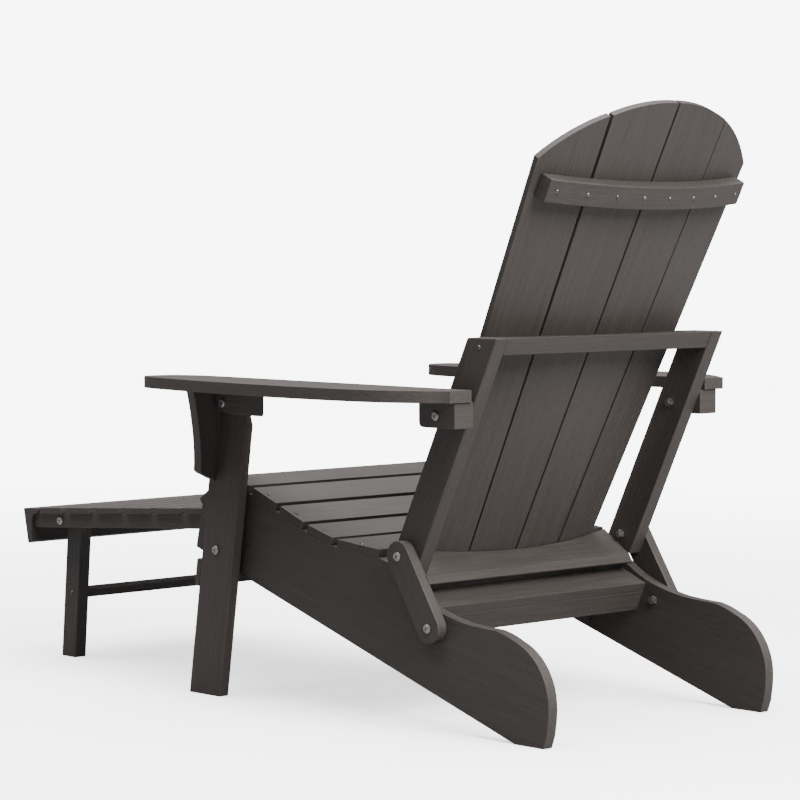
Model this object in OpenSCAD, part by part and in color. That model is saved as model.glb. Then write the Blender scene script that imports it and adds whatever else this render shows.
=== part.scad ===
// Folding adirondack chair with a pull-out footrest. Millimetres, +Z up, the sitter faces -Y.
// The origin is on the floor, at the centre of the open chair's footprint.
// Side views are drawn with Y across and Z up. "left" is the sitter's left, the +X side.

/* [Lumber] */
// Thickness of the side rails, front legs, links and arms
board_t = 19; // [18:0.5:19]
// Thickness of the back uprights
upright_t = 26; // [24:0.5:26]
// Thickness of the seat slats
seat_slat_t = 13; // [11:0.5:13]
// Thickness of the back slats
back_slat_t = 11.5; // [10:0.5:12]

/* [Seat] */
// Distance from the middle to the outer face of a side rail
rail_outer_x = 258; // [257:0.5:258]
// Width of an ordinary seat slat, front to rear
seat_slat_w = 62; // [60:0.5:62]
// Width of the rearmost seat slat
seat_rear_slat_w = 97; // [94:0.5:97]
// Gap between two seat slats
seat_gap = 10.8; // [10.8:0.2:12]

/* [Back] */
// Recline of the uprights, degrees from vertical
upright_lean = 25.1; // [24.8:0.1:25.3]
// Recline of the back slats, degrees from vertical
slat_lean = 26.2; // [26:0.1:26.4]
// Radius of the hollow curve across the back
back_hollow_r = 993; // [960:1:1100]
// Gap between two back slats
back_gap = 4.5; // [3.5:0.5:6]
// Radius of the arch along the top of the back
arch_r = 310; // [300:1:330]

/* [Arms] */
// Height of the top of the arms
arm_top_z = 528; // [528:0.5:530]
// Distance from the middle to the inner edge of an arm
arm_inner_x = 265.7; // [265:0.1:266]

/* [Footrest] */
// Downward slope of the pulled-out footrest, degrees
footrest_slope = 3.8; // [3.6:0.1:4]
// Width of a footrest slat, front to rear
footrest_slat_w = 66; // [62:0.5:68]
// Half the length of a footrest slat
footrest_half_x = 229; // [226:0.5:229]

/* [Pick] */
// Sub-part to draw

/* [Hidden] */

lumber = [0.24, 0.21, 0.2];
steel = [0.6, 0.6, 0.6];

// The side views are drawn about a Y zero between the front legs and the back.
// This is how far the whole chair moves to put the footprint's centre on the origin.
chair_y = 153;

// Pivots, as [Y, Z]
leg_pivot = [-225, 242.5];
arm_front_pivot = [-184.5, 487.5];
arm_rear_pivot = [307.7, 488.3];
link_top = [201.1, 265];
link_bottom = [268.5, 159.5];
footrest_pivot = [-295, 280];
bolt_r = 4;
hole_r = 4.05;
head_r = 7.5;
head_h = 3.2;
nut_r = 7.4;
nut_h = 6;
screw_head_r = 3.8;
screw_head_h = 1.2;
// Gap left between two parts that turn face to face
turn_gap = 0.4;
// Gap that keeps the drawn faces of a cut clear of the faces being cut
eps = 1;

rail_inner_x = rail_outer_x - board_t;
upright_outer_x = rail_outer_x;
upright_inner_x = upright_outer_x - upright_t;
leg_inner_x = rail_outer_x + 9.5;
leg_outer_x = leg_inner_x + board_t;
block_front_x = leg_outer_x + turn_gap;
block_rear_outer_x = 298;
arm_under_z = arm_top_z - board_t;
block_under_z = 469.5;

function polar(r, a) = [r * cos(a), r * sin(a)];

// Points along a curve from a to c that bends towards b
function bend(a, b, c, n = 6) =
  [for (i = [0:n]) let (t = i / n) (1 - t) * (1 - t) * a + 2 * t * (1 - t) * b + t * t * c];

module place() translate([0, chair_y, 0]) children();

module other_side() mirror([1, 0, 0]) children();

// A flat board seen from the side, standing between two X values
module side_board(x0, x1)
  translate([x0, 0, 0]) rotate([90, 0, 90]) linear_extrude(x1 - x0) children();

// A round bar along X
module bar_x(at, x0, x1, r)
  translate([x0, at[0], at[1]]) rotate([0, 90, 0]) cylinder(r = r, h = x1 - x0, $fn = 48);

// A button head on the outer side of x, with a hex socket
module head_x(at, x)
  translate([x, at[0], at[1]]) rotate([0, 90, 0]) difference() {
    union() {
      cylinder(r = head_r, h = head_h / 2, $fn = 48);
      translate([0, 0, head_h / 2]) cylinder(r1 = head_r, r2 = head_r - 2, h = head_h / 2, $fn = 48);
    }
    translate([0, 0, 1]) cylinder(r = 2.9, h = head_h, $fn = 6);
  }

// A hex nut on the inner side of x
module nut_x(at, x)
  translate([x - nut_h, at[0], at[1]]) rotate([0, 90, 0]) cylinder(r = nut_r, h = nut_h, $fn = 6);

// A bolt with its nut: the head sits on x1, the nut on x0
module bolt_x(at, x0, x1) {
  bar_x(at, x0 - nut_h - 2, x1 + 0.5, bolt_r);
  head_x(at, x1);
  difference() {
    nut_x(at, x0);
    bar_x(at, x0 - nut_h - eps, x0 + eps, bolt_r - 0.5);
  }
}

module both_sides() {
  children();
  other_side() children();
}

// ---------- Seat ----------

// Slope of each seat slat, front to rear, rising towards the front; the nose slat falls to the front
slat_slopes = [-35, 11.5, 20.7, 21.5, 15.5, 5];
slat_widths = [70, seat_slat_w, seat_slat_w - 1, seat_slat_w - 2, seat_slat_w, seat_rear_slat_w];
last_slat = 5;
// Rear end of the rearmost slat's top face
seat_rear = [137.1, 269.9];

// Top rear and top front corner of slat i, counted from the front
function slat_rear(i) =
  i == last_slat
  ? seat_rear
  : slat_front(i + 1) + polar(seat_gap, 180 - (slat_slopes[i] + slat_slopes[i + 1]) / 2);
function slat_front(i) = slat_rear(i) + polar(slat_widths[i], 180 - slat_slopes[i]);
// From a slat's top face straight through to its underside
function slat_down(i) = polar(seat_slat_t, -90 - slat_slopes[i]);

// Underside of the slats, from the nose to the rear
seat_line = [
  for (i = [0:last_slat], end = [0, 1])
    (end == 0 ? slat_front(i) : slat_rear(i)) + slat_down(i)
];

module seat_slat(i)
  color(lumber) place() side_board(-rail_outer_x, rail_outer_x)
    polygon([slat_front(i), slat_rear(i), slat_rear(i) + slat_down(i), slat_front(i) + slat_down(i)]);

rail_nose = [-310.5, 240];
foot_front = [437.9, 0];
foot_rear = [496.6, 0];
heel_centre = [409, 60];
heel_r = 98.5;

module side_rail_outline()
  difference() {
    polygon(concat(
      [rail_nose],
      seat_line,
      bend([161, 251], [205, 214], [237, 198.5]),
      bend([237.5, 198.3], [275, 180.5], [330, 171.5]),
      bend([352, 169.5], [372, 168], [396, 167]),
      bend([397, 167], [420, 163], [440, 153.5]),
      [for (a = [66:-6:0]) heel_centre + polar(heel_r, a)],
      [[507, 45], [503.5, 20], foot_rear, foot_front]
    ));
    // Room for the foot of the upright to swing
    translate(link_top) circle(r = 39, $fn = 96);
  }

module side_rail()
  color(lumber) place() difference() {
    side_board(rail_inner_x, rail_outer_x) side_rail_outline();
    bar_x(leg_pivot, rail_inner_x - eps, rail_outer_x + eps, hole_r);
    bar_x(link_bottom, rail_inner_x - eps, rail_outer_x + eps, hole_r);
  }
module side_rail_left() side_rail();
module side_rail_right() other_side() side_rail();

module seat_slat_1() seat_slat(0);
module seat_slat_2() seat_slat(1);
module seat_slat_3() seat_slat(2);
module seat_slat_4() seat_slat(3);
module seat_slat_5() seat_slat(4);
module seat_slat_6() seat_slat(5);

// The board behind the seat slopes to the rear and lies on top of the rear apron
beam_slope = -22;
beam_rear = [250.7, 187];
beam_w = 56;
beam_t = 15;
apron_h = 35.5;

// A rectangle in the sloped frame of the rear board, from its top rear edge
module beam_box(w, top, h)
  side_board(-rail_inner_x, rail_inner_x)
    translate(beam_rear) rotate(beam_slope) translate([-w, -top - h]) square([w, h]);

module rear_seat_board() color(lumber) place() beam_box(beam_w, 0, beam_t);
module rear_apron() color(lumber) place() beam_box(board_t, beam_t, apron_h);

// Board on edge under the rearmost seat slat
support_y = 112;
support_z = 193;
support_h = 63.5;

module seat_support()
  color(lumber) place() translate([-rail_inner_x, support_y, support_z])
    cube([2 * rail_inner_x, board_t, support_h]);

// Strips inside the side rails that carry the footrest's pins. They are lower at the front,
// where the front legs' stretcher swings past, and bored round the nuts of the leg bolts.
guide_slope = -15.5;
guide_t = 9.5;
guide_front = 8;
guide_step = [52, 66];
guide_rear = 449;
guide_top = -bolt_r - 0.3;
guide_front_h = 40;
guide_h = 47;
guide_bore_r = 9;

module footrest_guide()
  color(lumber) place() difference() {
    side_board(rail_inner_x - guide_t, rail_inner_x)
      translate(footrest_pivot) rotate(guide_slope) translate([0, guide_top])
        polygon([
          [guide_front, 0],
          [guide_rear, 0],
          [guide_rear, -guide_h],
          [guide_step[1], -guide_h],
          [guide_step[0], -guide_front_h],
          [guide_front, -guide_front_h]
        ]);
    bar_x(leg_pivot, rail_inner_x - guide_t - eps, rail_inner_x + eps, guide_bore_r);
  }
module footrest_guide_left() footrest_guide();
module footrest_guide_right() other_side() footrest_guide();

module leg_spacers()
  color(steel) place() both_sides() difference() {
    bar_x(leg_pivot, rail_outer_x, leg_inner_x - turn_gap, 12);
    bar_x(leg_pivot, rail_outer_x - eps, leg_inner_x + eps, hole_r);
  }

// A round screw head standing on a face; the local +Z points out of the face
module screw_head() cylinder(r1 = screw_head_r, r2 = screw_head_r - 1, h = screw_head_h, $fn = 32);

module seat_screws()
  color(steel) place() both_sides() {
    for (i = [0:last_slat]) {
      middle = (slat_front(i) + slat_rear(i)) / 2;
      translate([rail_outer_x - board_t / 2, middle[0], middle[1]])
        rotate([-slat_slopes[i], 0, 0]) screw_head();
    }
    translate([rail_outer_x, 207, 188]) rotate([0, 90, 0]) screw_head();
  }

module link_lower_bolts()
  color(steel) place() both_sides() bolt_x(link_bottom, rail_inner_x, rail_outer_x + board_t + 2 * turn_gap);
module leg_pivot_bolts()
  color(steel) place() both_sides() bolt_x(leg_pivot, rail_inner_x, leg_outer_x + turn_gap);

// ---------- Links between the rails and the back ----------

link_r = 24;
link_dir = link_top - link_bottom;
link_angle = atan2(link_dir[1], link_dir[0]);
end_step = 9;

module link_outline()
  polygon([
    for (a = [-90:end_step:90]) link_top + polar(link_r, link_angle + a),
    for (a = [90:end_step:270]) link_bottom + polar(link_r, link_angle + a)
  ]);

module link()
  color(lumber) place() difference() {
    side_board(rail_outer_x + turn_gap, rail_outer_x + turn_gap + board_t) link_outline();
    bar_x(link_top, rail_outer_x, rail_outer_x + 2 * board_t, hole_r);
    bar_x(link_bottom, rail_outer_x, rail_outer_x + 2 * board_t, hole_r);
  }
module link_left() link();
module link_right() other_side() link();

module link_upper_bolts()
  color(steel) place() both_sides()
    bolt_x(link_top, upright_inner_x - turn_gap, rail_outer_x + turn_gap + board_t);

// ---------- Front legs ----------

leg_lean = 8.3;
leg_foot = [-295.7, 0];
leg_w = 77.8;
leg_top_z = arm_under_z - 0.5;
leg_top_r = 21;
// Where the rear edge starts to narrow towards the rounded top, measured from the arm's pivot
leg_corner = polar(49.8, -48.3);
// Direction from the arm's pivot to where the rounding starts
leg_turn = 16.8;

// Y of the leg's front edge at height z
function leg_front_y(z) = leg_foot[0] + z * tan(leg_lean);

module front_leg_outline()
  polygon(concat(
    [leg_foot, [leg_foot[0] + leg_w / cos(leg_lean), 0], arm_front_pivot + leg_corner],
    [for (i = [0:8]) arm_front_pivot + polar(leg_top_r, leg_turn + (90 - leg_turn) * i / 8)],
    [[leg_front_y(leg_top_z), arm_front_pivot[1] + leg_top_r]]
  ));

module front_leg()
  color(lumber) place() difference() {
    side_board(leg_inner_x, leg_outer_x) front_leg_outline();
    bar_x(leg_pivot, leg_inner_x - eps, leg_outer_x + eps, hole_r);
    bar_x(arm_front_pivot, leg_inner_x - eps, leg_outer_x + eps, hole_r);
  }
module front_leg_left() front_leg();
module front_leg_right() other_side() front_leg();

// The leaning frame of a front leg: Y from its front edge, Z along the leg from the floor
module leg_frame() translate([0, leg_foot[0], 0]) rotate([-leg_lean, 0, 0]) children();

stretcher_t = 11;
stretcher_h = 46;
stretcher_z = 180.5;

module front_stretcher()
  color(lumber) place() leg_frame()
    translate([-leg_outer_x, -stretcher_t, stretcher_z])
      cube([2 * leg_outer_x, stretcher_t, stretcher_h]);

// Bracket that widens the top of a leg under the arm, flush with the leg's front edge
module arm_bracket()
  color(lumber) place() intersection() {
    leg_frame() translate([0, board_t, 0]) rotate([90, 0, 0]) linear_extrude(board_t)
      polygon(concat(
        [[leg_outer_x, 362.5], [318, 376.2], [321.3, 380]],
        bend([322, 392], [326, 428], [334.3, 457.5], 4),
        bend([336, 464], [342, 488], [354, 520], 4),
        [[leg_outer_x, 520]]
      ));
    translate([leg_outer_x, leg_foot[0], 0]) cube([board_t * 4, 200, leg_top_z]);
  }
module arm_bracket_left() arm_bracket();
module arm_bracket_right() other_side() arm_bracket();

// ---------- Arms ----------

arm_front_y = -338;
arm_rear_y = 353;

// Seen from above, X across and Y along the arm
module arm_outline()
  polygon(concat(
    [[arm_inner_x, arm_rear_y]],
    bend([arm_inner_x, arm_front_y + 104], [arm_inner_x, arm_front_y], [331.7, arm_front_y], 10),
    bend([334, arm_front_y + 0.1], [363, arm_front_y + 1], [372, -274], 8),
    bend([373, -266], [384, -195], [395, -60], 5),
    bend([396, -40], [401, 90], [385, 200], 7),
    bend([381, 222], [368, 290], [316.8, arm_rear_y - 12], 8),
    [[310.8, arm_rear_y]]
  ));

module arm() color(lumber) place() translate([0, 0, arm_under_z]) linear_extrude(board_t) arm_outline();
module arm_left() arm();
module arm_right() other_side() arm();

// The block between arm and leg is trimmed around the pivot, where the bracket swings past.
// Its rear end is cut back towards the leg and keeps a narrow flat at the outer face.
block_front_y = -203.2;
block_rear_y = -86;
block_trim_r = 14;
block_flat = 3;
block_cut = 1.06;

module arm_front_block_outline()
  polygon([
    for (a = [180:15:270]) arm_front_pivot + polar(block_trim_r, a),
    [arm_front_pivot[0] + 22, block_under_z],
    [block_rear_y, block_under_z],
    [block_rear_y, arm_under_z],
    [block_front_y + 1.9, arm_under_z],
    [block_front_y, arm_front_pivot[1] + 8]
  ]);

module arm_front_block()
  color(lumber) place() difference() {
    side_board(block_front_x, block_front_x + board_t) arm_front_block_outline();
    bar_x(arm_front_pivot, leg_outer_x, block_front_x + board_t + eps, hole_r);
    translate([block_front_x + board_t - block_flat, block_rear_y, block_under_z - eps])
      linear_extrude(2 * board_t + 10)
        polygon([[2, 2 * block_cut], [-board_t, 2 * block_cut], [-board_t, -board_t * block_cut]]);
  }
module arm_front_block_left() arm_front_block();
module arm_front_block_right() other_side() arm_front_block();

block_end_y = 349;

module arm_rear_block()
  color(lumber) place() difference() {
    side_board(rail_outer_x + turn_gap, block_rear_outer_x)
      polygon(concat(
        [[270.5, arm_under_z]],
        bend([270.5, 480], [270.5, block_under_z], [281, block_under_z], 4),
        [[block_end_y, block_under_z], [block_end_y, arm_under_z]]
      ));
    bar_x(arm_rear_pivot, rail_outer_x, block_rear_outer_x + eps, hole_r);
  }
module arm_rear_block_left() arm_rear_block();
module arm_rear_block_right() other_side() arm_rear_block();

module arm_front_bolts()
  color(steel) place() both_sides() bolt_x(arm_front_pivot, leg_inner_x - turn_gap, block_front_x + board_t);

// The rear arm bolt is split where the block meets the upright: this is the outer half, with the head
module arm_rear_bolts()
  color(steel) place() both_sides() {
    bar_x(arm_rear_pivot, rail_outer_x + turn_gap, block_rear_outer_x + 0.5, bolt_r);
    head_x(arm_rear_pivot, block_rear_outer_x);
  }

// ---------- Back ----------

// Points of the uprights; the top is cut level
upright_top_z = 606;
upright_top_rear = [397.7, upright_top_z];
upright_foot_rear = [219.7, 233];
upright_w = 57.2;
upright_run = upright_w / cos(upright_lean);
upright_foot_front = upright_foot_rear + polar(upright_w, 180 - upright_lean);

module back_upright()
  color(lumber) place() difference() {
    side_board(upright_inner_x, upright_outer_x)
      polygon([
        upright_foot_rear,
        upright_top_rear,
        upright_top_rear - [upright_run, 0],
        upright_foot_front
      ]);
    bar_x(link_top, upright_inner_x - eps, upright_outer_x + eps, hole_r);
    bar_x(arm_rear_pivot, upright_inner_x - eps, upright_outer_x + eps, hole_r);
  }
module back_upright_left() back_upright();
module back_upright_right() other_side() back_upright();

// The frame of the back slats: X across, Y out of the rear face, Z up along the slats
slat_foot = [185.2, 256.8];
module back_frame() translate([0, slat_foot[0], slat_foot[1]]) rotate([-slat_lean, 0, 0]) children();

// A level strip behind the slats, in the back's frame: its front edge follows the hollow curve
module curved_strip(half_x, rear, from_r)
  intersection() {
    difference() {
      translate([-half_x, -60]) square([2 * half_x, 60 + rear]);
      translate([0, -back_hollow_r]) circle(r = from_r, $fn = 360);
    }
    translate([-half_x, -60]) square([2 * half_x, 200]);
  }

upper_rail_h = 27;
module back_upper_rail()
  color(lumber) place() intersection() {
    back_frame() translate([0, 0, 330]) linear_extrude(100)
      curved_strip(upright_inner_x, 36.1, back_hollow_r + 1);
    translate([-upright_inner_x, 200, upright_top_z - upper_rail_h])
      cube([2 * upright_inner_x, 300, upper_rail_h]);
  }

// The lower board falls a little to the rear of square, and its rear edge is cut on a slope
module back_lower_board()
  color(lumber) place() back_frame() intersection() {
    translate([0, 0, -40]) linear_extrude(60) curved_strip(upright_inner_x, 60, back_hollow_r + 1);
    side_board(-upright_inner_x - eps, upright_inner_x + eps)
      polygon([[-40, 5.2], [41.9, -5.4], [54, -14.2], [47, -21], [-40, -9.7]]);
  }

batten_z = 615;
batten_h = 38;
batten_t = 23;
batten_half_x = 219;
module back_batten()
  color(lumber) place() back_frame() translate([0, 0, batten_z]) linear_extrude(batten_h)
    intersection() {
      translate([-batten_half_x, -60]) square([2 * batten_half_x, 100]);
      translate([0, -back_hollow_r]) difference() {
        circle(r = back_hollow_r + 1 + batten_t, $fn = 360);
        circle(r = back_hollow_r + 1, $fn = 360);
      }
    }

// Outlines of the slats, X across and height along the slat
back_foot_s = -15.5;
arch_top_s = 783;
inner_edge_foot = 99.5;
inner_edge_slope = 0.0367;
outer_edge_foot = 197.5;
outer_edge_slope = 0.0565;
function inner_edge(s) = inner_edge_foot + inner_edge_slope * s;
function outer_edge(s) = outer_edge_foot + outer_edge_slope * s;

module arch_cut()
  difference() {
    translate([-300, arch_top_s - arch_r]) square([600, arch_r + 20]);
    translate([0, arch_top_s - arch_r]) circle(r = arch_r, $fn = 180);
  }

// A slat between two edges given at its foot and at the arch, turned about a line at x
module back_slat(x_foot, x_top, w_foot, w_top, turn_x, turn, depth)
  color(lumber) place() back_frame()
    translate([turn_x, depth, 0]) rotate([0, 0, turn]) translate([-turn_x, 0, 0]) rotate([90, 0, 0])
      linear_extrude(back_slat_t) difference() {
        polygon([
          [x_foot, back_foot_s],
          [w_foot, back_foot_s],
          [w_top, arch_top_s],
          [x_top, arch_top_s]
        ]);
        arch_cut();
      }

inner_turn = -3.24;
outer_turn = -9.5;
fold_x = 113;
fold_depth = -6.4;

module inner_back_slat()
  back_slat(back_gap / 2, back_gap / 2, inner_edge(back_foot_s), inner_edge(arch_top_s), 0, inner_turn, 0);
module outer_back_slat()
  back_slat(
    inner_edge(back_foot_s) + back_gap, inner_edge(arch_top_s) + back_gap,
    outer_edge(back_foot_s), outer_edge(arch_top_s),
    fold_x, outer_turn, fold_depth
  );

module back_slat_1() outer_back_slat();
module back_slat_2() inner_back_slat();
module back_slat_3() other_side() inner_back_slat();
module back_slat_4() other_side() outer_back_slat();

batten_screw_pitch = 57.7;
// Depth of the batten's rear face at x
function batten_rear(x) = sqrt(pow(back_hollow_r + 1 + batten_t, 2) - x * x) - back_hollow_r;

module back_screws()
  color(steel) place() {
    for (i = [0:7]) {
      x = (i - 3.5) * batten_screw_pitch;
      back_frame() translate([x, batten_rear(x), batten_z + batten_h / 2])
        rotate([-90, 0, -asin(x / back_hollow_r)]) screw_head();
    }
    both_sides() {
      translate([upright_outer_x, 359.5, 591.7]) rotate([0, 90, 0]) screw_head();
    }
  }

// The inner half of the split arm bolt, with its nut, stays in the upright
module arm_rear_nuts()
  color(steel) place() both_sides() {
    bar_x(arm_rear_pivot, upright_inner_x - nut_h - 2, upright_outer_x, bolt_r);
    difference() {
      nut_x(arm_rear_pivot, upright_inner_x);
      bar_x(arm_rear_pivot, upright_inner_x - nut_h - eps, upright_inner_x + eps, bolt_r - 0.5);
    }
  }

// ---------- Footrest ----------

foot_rail_inner_x = 195;
foot_rail_outer_x = 222;
foot_rail_h = 25;
foot_slat_t = 10.5;
foot_slat_pitch = 82.9;
// Front end of the rails and of the first slat, measured forward from the slide pin
foot_rail_len = 521.3;
foot_slat_start = 495.5;
// Rear face of the front board, where the ends of the rails fit into it
apron_hollow = bend([-506, foot_rail_h / 2], [-519, foot_rail_h / 2], [-foot_rail_len, -3], 5);

// The footrest's own frame: Y towards the rear, Z square to the slats, from the slide pin
module footrest_plane() translate(footrest_pivot) rotate(footrest_slope) children();

foot_leg_pivot = footrest_pivot + polar(442.8, 180 + footrest_slope);

module footrest_slide_pins()
  color(steel) place() both_sides() {
    bar_x(footrest_pivot, foot_rail_inner_x - nut_h - 2, rail_inner_x - 3, bolt_r);
    difference() {
      nut_x(footrest_pivot, foot_rail_inner_x - turn_gap);
      bar_x(footrest_pivot, foot_rail_inner_x - nut_h - eps, foot_rail_inner_x + eps, bolt_r - 0.5);
    }
  }

// The front end is cut to the hollow of the front board
module foot_rail_outline()
  polygon(concat(
    apron_hollow,
    [[-foot_rail_len, -foot_rail_h / 2]],
    [for (a = [-90:end_step:90]) polar(foot_rail_h / 2, a)]
  ));

module footrest_rail()
  color(lumber) place() difference() {
    side_board(foot_rail_inner_x, foot_rail_outer_x) footrest_plane() foot_rail_outline();
    bar_x(footrest_pivot, foot_rail_inner_x - eps, foot_rail_outer_x + eps, hole_r);
    bar_x(foot_leg_pivot, foot_rail_inner_x - eps, foot_rail_outer_x + eps, hole_r);
  }
module footrest_rail_left() footrest_rail();
module footrest_rail_right() other_side() footrest_rail();

module footrest_slat(i)
  color(lumber) place() side_board(-footrest_half_x, footrest_half_x) footrest_plane()
    translate([-foot_slat_start + i * foot_slat_pitch, foot_rail_h / 2])
      square([footrest_slat_w, foot_slat_t]);
module footrest_slat_1() footrest_slat(0);
module footrest_slat_2() footrest_slat(1);
module footrest_slat_3() footrest_slat(2);
module footrest_slat_4() footrest_slat(3);
module footrest_slat_5() footrest_slat(4);
module footrest_slat_6() footrest_slat(5);

// Front board of the footrest: a thick lip along the top, hollowed underneath
module footrest_apron()
  color(lumber) place() side_board(-footrest_half_x, footrest_half_x) footrest_plane()
    polygon(concat(
      [[-543, 23], [-501.5, 23], [-501.5, 13.5]],
      apron_hollow,
      [[-523.5, -37], [-533.5, -40.5]]
    ));

foot_leg_inner_x = 160;
foot_leg_outer_x = 184;
foot_leg_lean = 4.7;
foot_leg_front = 28;
foot_leg_rear = 12;
foot_leg_top = 7.5;

// Drawn about its pivot, hanging down, then tilted forward and cut level with the floor
module footrest_leg_outline()
  difference() {
    translate(foot_leg_pivot) rotate(-foot_leg_lean) {
      polygon(concat(
        [for (a = [0:end_step:90]) polar(foot_leg_rear, a)],
        [[-6, foot_leg_top], [-foot_leg_front, foot_leg_top], [-foot_leg_front, -300], [foot_leg_rear, -300]]
      ));
    }
    translate([-1000, -100]) square([600, 100]);
  }

module footrest_leg()
  color(lumber) place() difference() {
    side_board(foot_leg_inner_x, foot_leg_outer_x) footrest_leg_outline();
    bar_x(foot_leg_pivot, foot_leg_inner_x - eps, foot_leg_outer_x + eps, hole_r);
  }
module footrest_leg_left() footrest_leg();
module footrest_leg_right() other_side() footrest_leg();

module footrest_leg_bolts()
  color(steel) place() both_sides() bolt_x(foot_leg_pivot, foot_leg_inner_x - turn_gap, foot_rail_outer_x);

module footrest_leg_spacers()
  color(steel) place() both_sides() difference() {
    bar_x(foot_leg_pivot, foot_leg_outer_x, foot_rail_inner_x - turn_gap, 10);
    bar_x(foot_leg_pivot, foot_leg_outer_x - eps, foot_rail_inner_x + eps, hole_r);
  }

foot_stretcher_down = 142;
foot_stretcher_h = 14.5;
foot_stretcher_d = 32;

module footrest_stretcher()
  color(lumber) place() side_board(-foot_leg_inner_x, foot_leg_inner_x)
    translate(foot_leg_pivot) rotate(-foot_leg_lean)
      translate([foot_leg_rear - foot_stretcher_d, -foot_stretcher_down])
        square([foot_stretcher_d, foot_stretcher_h]);

module footrest_screws()
  color(steel) place() both_sides()
    translate([foot_leg_outer_x, 0, 0])
      translate([0, foot_leg_pivot[0], foot_leg_pivot[1]]) rotate([-foot_leg_lean, 0, 0])
        translate([0, -7, foot_stretcher_h / 2 - foot_stretcher_down]) rotate([0, 90, 0]) screw_head();

// ---------- Drawing ----------

side_rail_left();
side_rail_right();
seat_slat_1();
seat_slat_2();
seat_slat_3();
seat_slat_4();
seat_slat_5();
seat_slat_6();
rear_seat_board();
rear_apron();
seat_support();
footrest_guide_left();
footrest_guide_right();
leg_spacers();
seat_screws();
link_lower_bolts();
leg_pivot_bolts();
link_left();
link_right();
link_upper_bolts();
front_leg_left();
front_leg_right();
front_stretcher();
arm_bracket_left();
arm_bracket_right();
arm_left();
arm_right();
arm_front_block_left();
arm_front_block_right();
arm_rear_block_left();
arm_rear_block_right();
arm_front_bolts();
arm_rear_bolts();
back_upright_left();
back_upright_right();
back_upper_rail();
back_lower_board();
back_batten();
back_slat_1();
back_slat_2();
back_slat_3();
back_slat_4();
back_screws();
arm_rear_nuts();
footrest_slide_pins();
footrest_rail_left();
footrest_rail_right();
footrest_slat_1();
footrest_slat_2();
footrest_slat_3();
footrest_slat_4();
footrest_slat_5();
footrest_slat_6();
footrest_apron();
footrest_leg_bolts();
footrest_leg_left();
footrest_leg_right();
footrest_stretcher();
footrest_leg_spacers();
footrest_screws();
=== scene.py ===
"""The folding adirondack chair's looks: grained plastic lumber, steel fasteners, studio light, camera."""

import math

import bmesh
import bpy
import numpy as np
from mathutils import Matrix, Vector


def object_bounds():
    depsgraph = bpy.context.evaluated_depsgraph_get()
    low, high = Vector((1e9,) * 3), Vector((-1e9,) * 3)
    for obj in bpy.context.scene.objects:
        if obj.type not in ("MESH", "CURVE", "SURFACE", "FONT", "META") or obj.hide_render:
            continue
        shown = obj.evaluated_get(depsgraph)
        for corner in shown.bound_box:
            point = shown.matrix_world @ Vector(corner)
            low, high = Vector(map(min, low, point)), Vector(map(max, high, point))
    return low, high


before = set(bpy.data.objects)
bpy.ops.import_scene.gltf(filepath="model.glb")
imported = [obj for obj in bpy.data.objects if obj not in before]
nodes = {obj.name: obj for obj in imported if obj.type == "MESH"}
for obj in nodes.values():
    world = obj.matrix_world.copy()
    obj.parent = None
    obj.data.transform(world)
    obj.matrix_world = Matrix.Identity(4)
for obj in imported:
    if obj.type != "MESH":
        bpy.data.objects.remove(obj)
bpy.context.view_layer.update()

STEEL_WORDS = ("bolt", "screw", "nut", "pin", "spacer")
steel_names = [n for n in nodes if any(w in n for w in STEEL_WORDS)]
lumber_names = [n for n in nodes if n not in steel_names]


# ---------- Materials ----------

LUMBER_DARK = (0.030, 0.0245, 0.0218)
LUMBER_PALE = (0.046, 0.0388, 0.0352)
GRAIN_DEPTH = 0.00045
# radius of the rounded edge behind the paler corners, which are part rubbed wear and part painted
# highlight
WEAR_AND_HIGHLIGHT_RADIUS = 0.0022
# how far each board's grain is moved on from the last one's, so that no two boards match
GRAIN_STEP = (0.37, 0.191, 0.113)
BOLT_DARK, BOLT_PALE = (0.2, 0.195, 0.19), (0.36, 0.355, 0.35)
SCREW_DARK, SCREW_PALE = (0.07, 0.066, 0.064), (0.15, 0.146, 0.142)
TURNING_DEPTH = 0.0001


class Tree:
    """Adds nodes to a material and links them by name."""

    def __init__(self, name):
        self.mat = bpy.data.materials.new(name)
        self.mat.use_nodes = True
        self.tree = self.mat.node_tree
        self.shader = self.tree.nodes["Principled BSDF"]

    def add(self, kind, **inputs):
        node = self.tree.nodes.new(kind)
        for key, value in inputs.items():
            self.set(node.inputs[key.replace("_", " ")], value)
        return node

    def set(self, socket, value):
        if isinstance(value, bpy.types.NodeSocket):
            self.tree.links.new(value, socket)
        else:
            socket.default_value = value

    def ramp(self, fac, *stops):
        node = self.add("ShaderNodeValToRGB", Fac=fac)
        while len(node.color_ramp.elements) < len(stops):
            node.color_ramp.elements.new(0.5)
        for element, (at, level) in zip(node.color_ramp.elements, stops):
            element.position = at
            element.color = (level, level, level, 1)
        return node.outputs["Color"]

    def math(self, op, a, b):
        node = self.add("ShaderNodeMath")
        node.operation = op
        self.set(node.inputs[0], a)
        self.set(node.inputs[1], b)
        return node.outputs[0]

    def vector_math(self, op, *vectors):
        node = self.add("ShaderNodeVectorMath")
        node.operation = op
        for socket, vector in zip(node.inputs, vectors):
            self.set(socket, vector)
        return node.outputs["Value"]

    def mix(self, fac, a, b):
        node = self.add("ShaderNodeMix")
        node.data_type = "RGBA"
        self.set(node.inputs["Factor"], fac)
        self.set(node.inputs["A"], a)
        self.set(node.inputs["B"], b)
        return node.outputs["Result"]


def rgba(colour, level=1.0):
    """The colour, paler or darker by a factor, as a socket takes it."""
    return (*[c * level for c in colour], 1)


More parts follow.
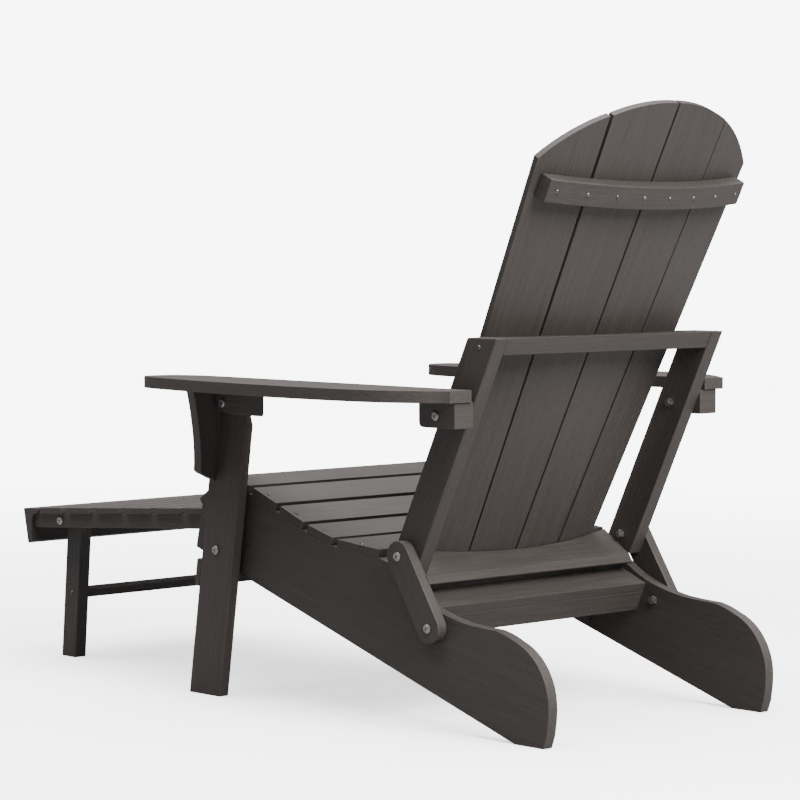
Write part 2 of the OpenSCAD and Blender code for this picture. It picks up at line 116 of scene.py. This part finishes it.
def board_axes(obj):
    """Rows: the board's long, wide and thin directions, from how its corners spread."""
    co = np.empty(len(obj.data.vertices) * 3)
    obj.data.vertices.foreach_get("co", co)
    co = co.reshape(-1, 3)
    spread = np.linalg.svd(co - co.mean(axis=0), full_matrices=False)[2]
    for row in spread:
        if row[np.argmax(np.abs(row))] < 0:
            row *= -1
    spread[2] = np.cross(spread[0], spread[1])
    return Matrix(spread.tolist())


def lumber(name, axes, offset):
    """Poly lumber with a grain pressed into it along the board."""
    t = Tree(name)
    coords = t.add("ShaderNodeTexCoord").outputs["Object"]
    turned = t.add("ShaderNodeMapping", Vector=coords, Rotation=axes.to_euler("XYZ"), Location=offset)
    turned = turned.outputs["Vector"]

    def noise(along, size, detail, rough, warp):
        """Noise drawn out along the board: the smaller `along` is, the longer its marks."""
        place = t.add("ShaderNodeMapping", Vector=turned, Scale=(along, 1, 1)).outputs["Vector"]
        node = t.add("ShaderNodeTexNoise", Vector=place, Scale=size, Detail=detail, Roughness=rough)
        node.inputs["Distortion"].default_value = warp
        return node.outputs["Fac"]

    # pressed lines, the bands they gather in, cathedral figure, slow changes of tone, and specks
    lines = t.ramp(noise(0.035, 620, 5, 0.6, 0.15), (0.36, 0.0), (0.62, 1.0))
    bands = t.ramp(noise(0.04, 210, 4, 0.6, 0.6), (0.34, 0.0), (0.66, 1.0))
    cathedral = t.ramp(noise(0.05, 46, 3, 0.5, 0.9), (0.42, 0.0), (0.5, 1.0), (0.58, 0.0))
    tone = t.ramp(noise(0.3, 6, 2, 0.5, 0), (0.3, 0.0), (0.8, 0.22))
    speck = noise(1, 1500, 2, 0.5, 0)

    # paler corners: bare plastic where they have been rubbed, and partly a painted highlight along the
    # edges
    bevel = t.add("ShaderNodeBevel", Radius=WEAR_AND_HIGHLIGHT_RADIUS)
    bevel.samples = 4
    geometry = t.add("ShaderNodeNewGeometry")
    bend = t.vector_math("DOT_PRODUCT", bevel.outputs["Normal"], geometry.outputs["True Normal"])
    edge = t.ramp(bend, (0.9, 1.0), (0.995, 0.0))
    wear_and_edge_highlight = t.math("MULTIPLY", edge, t.ramp(speck, (0.4, 0.15), (0.65, 0.6)))

    colour = t.mix(t.math("MULTIPLY", bands, 0.62), rgba(LUMBER_DARK), rgba(LUMBER_PALE))
    colour = t.mix(t.math("MULTIPLY", lines, 0.34), colour, rgba(LUMBER_PALE))
    colour = t.mix(t.math("MULTIPLY", cathedral, 0.16), colour, rgba(LUMBER_DARK, 0.6))
    colour = t.mix(tone, colour, rgba(LUMBER_PALE, 1.12))
    # the paler corners go in here: rubbed wear together with a painted edge highlight
    colour = t.mix(t.math("MULTIPLY", wear_and_edge_highlight, 0.55), colour, rgba(LUMBER_PALE, 1.5))
    t.set(t.shader.inputs["Base Color"], colour)

    rough = t.math("ADD", t.math("MULTIPLY", lines, 0.12), 0.46)
    rough = t.math("ADD", rough, t.math("MULTIPLY", bands, 0.06))
    t.set(t.shader.inputs["Roughness"], rough)
    t.shader.inputs["Specular IOR Level"].default_value = 0.28

    height = t.math("ADD", t.math("MULTIPLY", lines, 0.55), t.math("MULTIPLY", bands, 0.75))
    height = t.math("SUBTRACT", height, t.math("MULTIPLY", cathedral, 0.5))
    height = t.math("ADD", height, t.math("MULTIPLY", speck, 0.18))
    bump = t.add("ShaderNodeBump", Height=height, Strength=0.5, Distance=GRAIN_DEPTH)
    t.set(t.shader.inputs["Normal"], bump.outputs["Normal"])
    return t.mat


def steel(name, dark, pale):
    """Plated steel, turned and a little dulled."""
    t = Tree(name)
    coords = t.add("ShaderNodeTexCoord").outputs["Object"]
    fine = t.add("ShaderNodeTexNoise", Vector=coords, Scale=900, Detail=3, Roughness=0.6).outputs["Fac"]
    dull = t.add("ShaderNodeTexNoise", Vector=coords, Scale=140, Detail=2, Roughness=0.5).outputs["Fac"]
    colour = t.mix(t.ramp(dull, (0.35, 0.0), (0.7, 1.0)), rgba(dark), rgba(pale))
    t.set(t.shader.inputs["Base Color"], colour)
    t.set(t.shader.inputs["Roughness"], t.math("ADD", t.math("MULTIPLY", fine, 0.25), 0.24))
    t.shader.inputs["Metallic"].default_value = 0.9
    bump = t.add("ShaderNodeBump", Height=fine, Strength=0.25, Distance=TURNING_DEPTH)
    t.set(t.shader.inputs["Normal"], bump.outputs["Normal"])
    return t.mat


# ---------- Eased corners ----------

SAME_POINT = 0.00001
CORNER_ANGLE = math.radians(28)
LUMBER_EASE = 0.0018
STEEL_EASE = 0.0004
# a rim less than this across belongs to a drilled hole
HOLE_ACROSS = 0.024


def corner_key(a, b):
    """Names the edge between two points, whichever way round."""
    return tuple(sorted(tuple(round(c, 5) for c in p) for p in (a, b)))


def mark_edges(obj, smallest):
    """Marks the corners to ease; the rims of holes smaller than this across stay sharp."""
    shape = bmesh.new()
    shape.from_mesh(obj.data)
    bmesh.ops.remove_doubles(shape, verts=shape.verts, dist=SAME_POINT)
    sharp = {e for e in shape.edges if len(e.link_faces) == 2 and e.calc_face_angle(0) > CORNER_ANGLE}
    eased, rims = set(), set()
    while sharp:
        loop, todo = set(), [sharp.pop()]
        while todo:
            edge = todo.pop()
            loop.add(edge)
            for near in [n for v in edge.verts for n in v.link_edges if n in sharp]:
                sharp.remove(near)
                todo.append(near)
        points = np.array([v.co for e in loop for v in e.verts])
        across = np.linalg.norm(points.max(axis=0) - points.min(axis=0))
        kind = eased if across > smallest else rims
        kind.update(corner_key(*[v.co for v in e.verts]) for e in loop)
    shape.free()
    attributes = obj.data.attributes
    weight = attributes.new("bevel_weight_edge", "FLOAT", "EDGE")
    hard = attributes.get("sharp_edge") or attributes.new("sharp_edge", "BOOLEAN", "EDGE")
    for i, edge in enumerate(obj.data.edges):
        key = corner_key(*[obj.data.vertices[v].co for v in edge.vertices])
        weight.data[i].value = float(key in eased)
        hard.data[i].value = key in rims


def dress(obj, mat, width, segments, smallest):
    """Gives the piece its material, smooth shading and eased corners, the last two in modifiers."""
    obj.data.materials.clear()
    obj.data.materials.append(mat)
    for attribute in [a for a in obj.data.attributes if a.name == "custom_normal"]:
        obj.data.attributes.remove(attribute)
    obj.data.polygons.foreach_set("use_smooth", [True] * len(obj.data.polygons))
    mark_edges(obj, smallest)
    weld = obj.modifiers.new("weld", "WELD")
    weld.merge_threshold = SAME_POINT
    bevel = obj.modifiers.new("bevel", "BEVEL")
    bevel.width = width
    bevel.segments = segments
    bevel.limit_method = "WEIGHT"
    bevel.harden_normals = True
    bevel.miter_outer = "MITER_ARC"


bolt_steel = steel("zinc_steel", BOLT_DARK, BOLT_PALE)
screw_steel = steel("screw_steel", SCREW_DARK, SCREW_PALE)
for name in steel_names:
    dress(nodes[name], screw_steel if "screw" in name else bolt_steel, STEEL_EASE, 2, 0.0)

for index, name in enumerate(sorted(lumber_names)):
    offset = tuple(step * index for step in GRAIN_STEP)
    mat = lumber("lumber_" + name, board_axes(nodes[name]), offset)
    dress(nodes[name], mat, LUMBER_EASE, 3, HOLE_ACROSS)


# ---------- Studio ----------

FLOOR_REACH = 9
FLOOR_THROWS = 0.22
# how strongly the floor glows for the camera: at the chair, and where it has faded into the wall
FADE_FROM, FADE_TO = 1.0, 4.5
GLOW_NEAR, GLOW_FAR = 1.4, 4.6
# the wall's strength as light on the chair, and as the camera sees it
WALL_THROWS, WALL_SEEN = 0.2, 8.0
KEY_OFFSET = Vector((0.3, 4.2, 2.6))
WHITE = (1, 1, 1, 1)

low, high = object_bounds()
middle = (low + high) / 2
corners = [(x * FLOOR_REACH, y * FLOOR_REACH, 0) for x, y in ((-1, -1), (1, -1), (1, 1), (-1, 1))]
floor_mesh = bpy.data.meshes.new("floor")
floor_mesh.from_pydata(corners, [], [(0, 1, 2, 3)])
floor = bpy.data.objects.new("floor", floor_mesh)
bpy.context.scene.collection.objects.link(floor)

paint = Tree("floor_paint")
mottle = paint.add("ShaderNodeTexNoise", Scale=3, Detail=2).outputs["Fac"]
seen = paint.add("ShaderNodeLightPath").outputs["Is Camera Ray"]
# the floor looks white but throws little light back up
shade = paint.mix(seen, rgba((FLOOR_THROWS,) * 3), paint.ramp(mottle, (0.0, 0.93), (1.0, 0.95)))
paint.set(paint.shader.inputs["Base Color"], shade)
paint.shader.inputs["Roughness"].default_value = 0.7
paint.shader.inputs["Emission Color"].default_value = WHITE
# it fades into the white wall away from the chair
out_from_chair = paint.vector_math("LENGTH", paint.add("ShaderNodeTexCoord").outputs["Object"])
fade = paint.add("ShaderNodeMapRange", Value=out_from_chair, From_Min=FADE_FROM, From_Max=FADE_TO)
fade.interpolation_type = "SMOOTHSTEP"
fade.inputs["To Min"].default_value = GLOW_NEAR
fade.inputs["To Max"].default_value = GLOW_FAR
paint.set(paint.shader.inputs["Emission Strength"], paint.math("MULTIPLY", seen, fade.outputs["Result"]))
floor_mesh.materials.append(paint.mat)

world = bpy.data.worlds.new("studio")
bpy.context.scene.world = world
world.use_nodes = True
sky = world.node_tree.nodes["Background"]
sky.inputs["Color"].default_value = WHITE
# the white wall behind the chair is brighter than the light it throws
wall_seen = world.node_tree.nodes.new("ShaderNodeLightPath").outputs["Is Camera Ray"]
level = world.node_tree.nodes.new("ShaderNodeMapRange")
level.inputs["To Min"].default_value = WALL_THROWS
level.inputs["To Max"].default_value = WALL_SEEN
world.node_tree.links.new(wall_seen, level.inputs["Value"])
world.node_tree.links.new(level.outputs["Result"], sky.inputs["Strength"])

# a soft square light that faces the chair's middle from behind it and above
key = bpy.data.lights.new("key", "AREA")
key.shape = "SQUARE"
key.size = 2.4
key.energy = 540
key_light = bpy.data.objects.new("key", key)
key_light.location = middle + KEY_OFFSET
key_light.rotation_euler = (middle - key_light.location).to_track_quat("-Z", "Y").to_euler()
bpy.context.scene.collection.objects.link(key_light)

# a wide, faintly cool light from straight above
overhead = bpy.data.lights.new("overhead", "SUN")
overhead.energy = 10.5
overhead.color = (0.95, 0.97, 1.0)
overhead.angle = math.radians(70)
overhead_light = bpy.data.objects.new("overhead", overhead)
bpy.context.scene.collection.objects.link(overhead_light)


# ---------- Camera ----------

AZIMUTH, PITCH = math.radians(136.838), math.radians(3.542)
DISTANCE = 5.0139
AIM = Vector((-0.0024, 0.0575, 0.4580))

cam_data = bpy.data.cameras.new("camera")
camera = bpy.data.objects.new("camera", cam_data)
bpy.context.scene.collection.objects.link(camera)
bpy.context.scene.camera = camera
across = math.cos(PITCH)
back = Vector((math.sin(AZIMUTH) * across, -math.cos(AZIMUTH) * across, math.sin(PITCH)))
camera.location = AIM + back * DISTANCE
camera.rotation_euler = (-back).to_track_quat("-Z", "Y").to_euler()
cam_data.sensor_width = 36
cam_data.lens = 134.72
cam_data.shift_x = 0.0026
cam_data.shift_y = 0.0193
cam_data.clip_start = 0.05
cam_data.clip_end = 100
